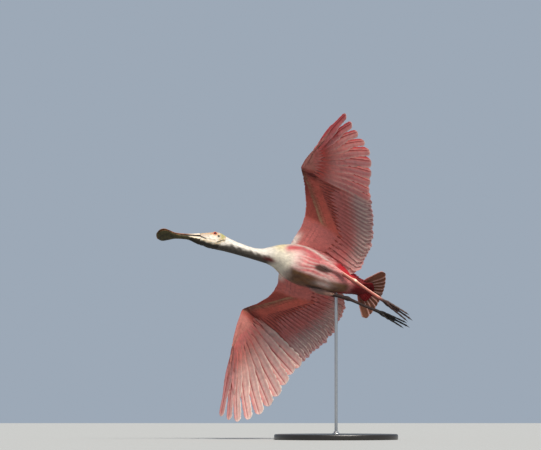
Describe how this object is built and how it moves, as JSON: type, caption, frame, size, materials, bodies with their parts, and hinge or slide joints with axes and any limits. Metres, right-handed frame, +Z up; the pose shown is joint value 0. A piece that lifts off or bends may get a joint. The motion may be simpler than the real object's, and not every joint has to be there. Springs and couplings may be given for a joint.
{
  "type": "roseate spoonbill",
  "caption": "Life-size still model of a wading bird banking in flight, wings spread, long flat spoon-tipped bill, on a disc base with one rod.",
  "frame": {"origin": "centre of the underside of the stand's base, on the floor", "axes": "+Z up; the bird flies towards -X, and its underside is turned towards -Y"},
  "size_m": [0.8289, 0.5386, 1.0505],
  "materials": {
    "body_plumage": "matt, fine feathers",
    "neck_plumage": "matt, fine feathers",
    "wing_feathers": "matt feather vanes",
    "tail_feathers": "matt feather vanes",
    "bare_skin": "fine wrinkled skin",
    "bill": "satin horn",
    "eye": "glossy",
    "leg_skin": "scaly skin",
    "foot_skin": "scaly skin and claws",
    "stand_base": "satin",
    "stand_rod": "brushed"
  },
  "bodies": {
    "root": {"torso": "body_plumage", "neck_lower": "neck_plumage", "neck_upper": "neck_plumage", "head": "bare_skin", "bill_upper": "bill", "bill_lower": "bill", "eye_left": "eye", "eye_right": "eye", "tail": "tail_feathers", "wing_arm_left": "wing_feathers", "wing_arm_right": "wing_feathers", "wing_hand_left": "wing_feathers", "wing_hand_right": "wing_feathers", "thigh_left": "body_plumage", "thigh_right": "body_plumage", "shank_left": "leg_skin", "shank_right": "leg_skin", "tarsus_left": "leg_skin", "tarsus_right": "leg_skin", "foot_left": "foot_skin", "foot_right": "foot_skin", "stand_base": "stand_base", "stand_rod": "stand_rod"}
  },
  "joints": []
}
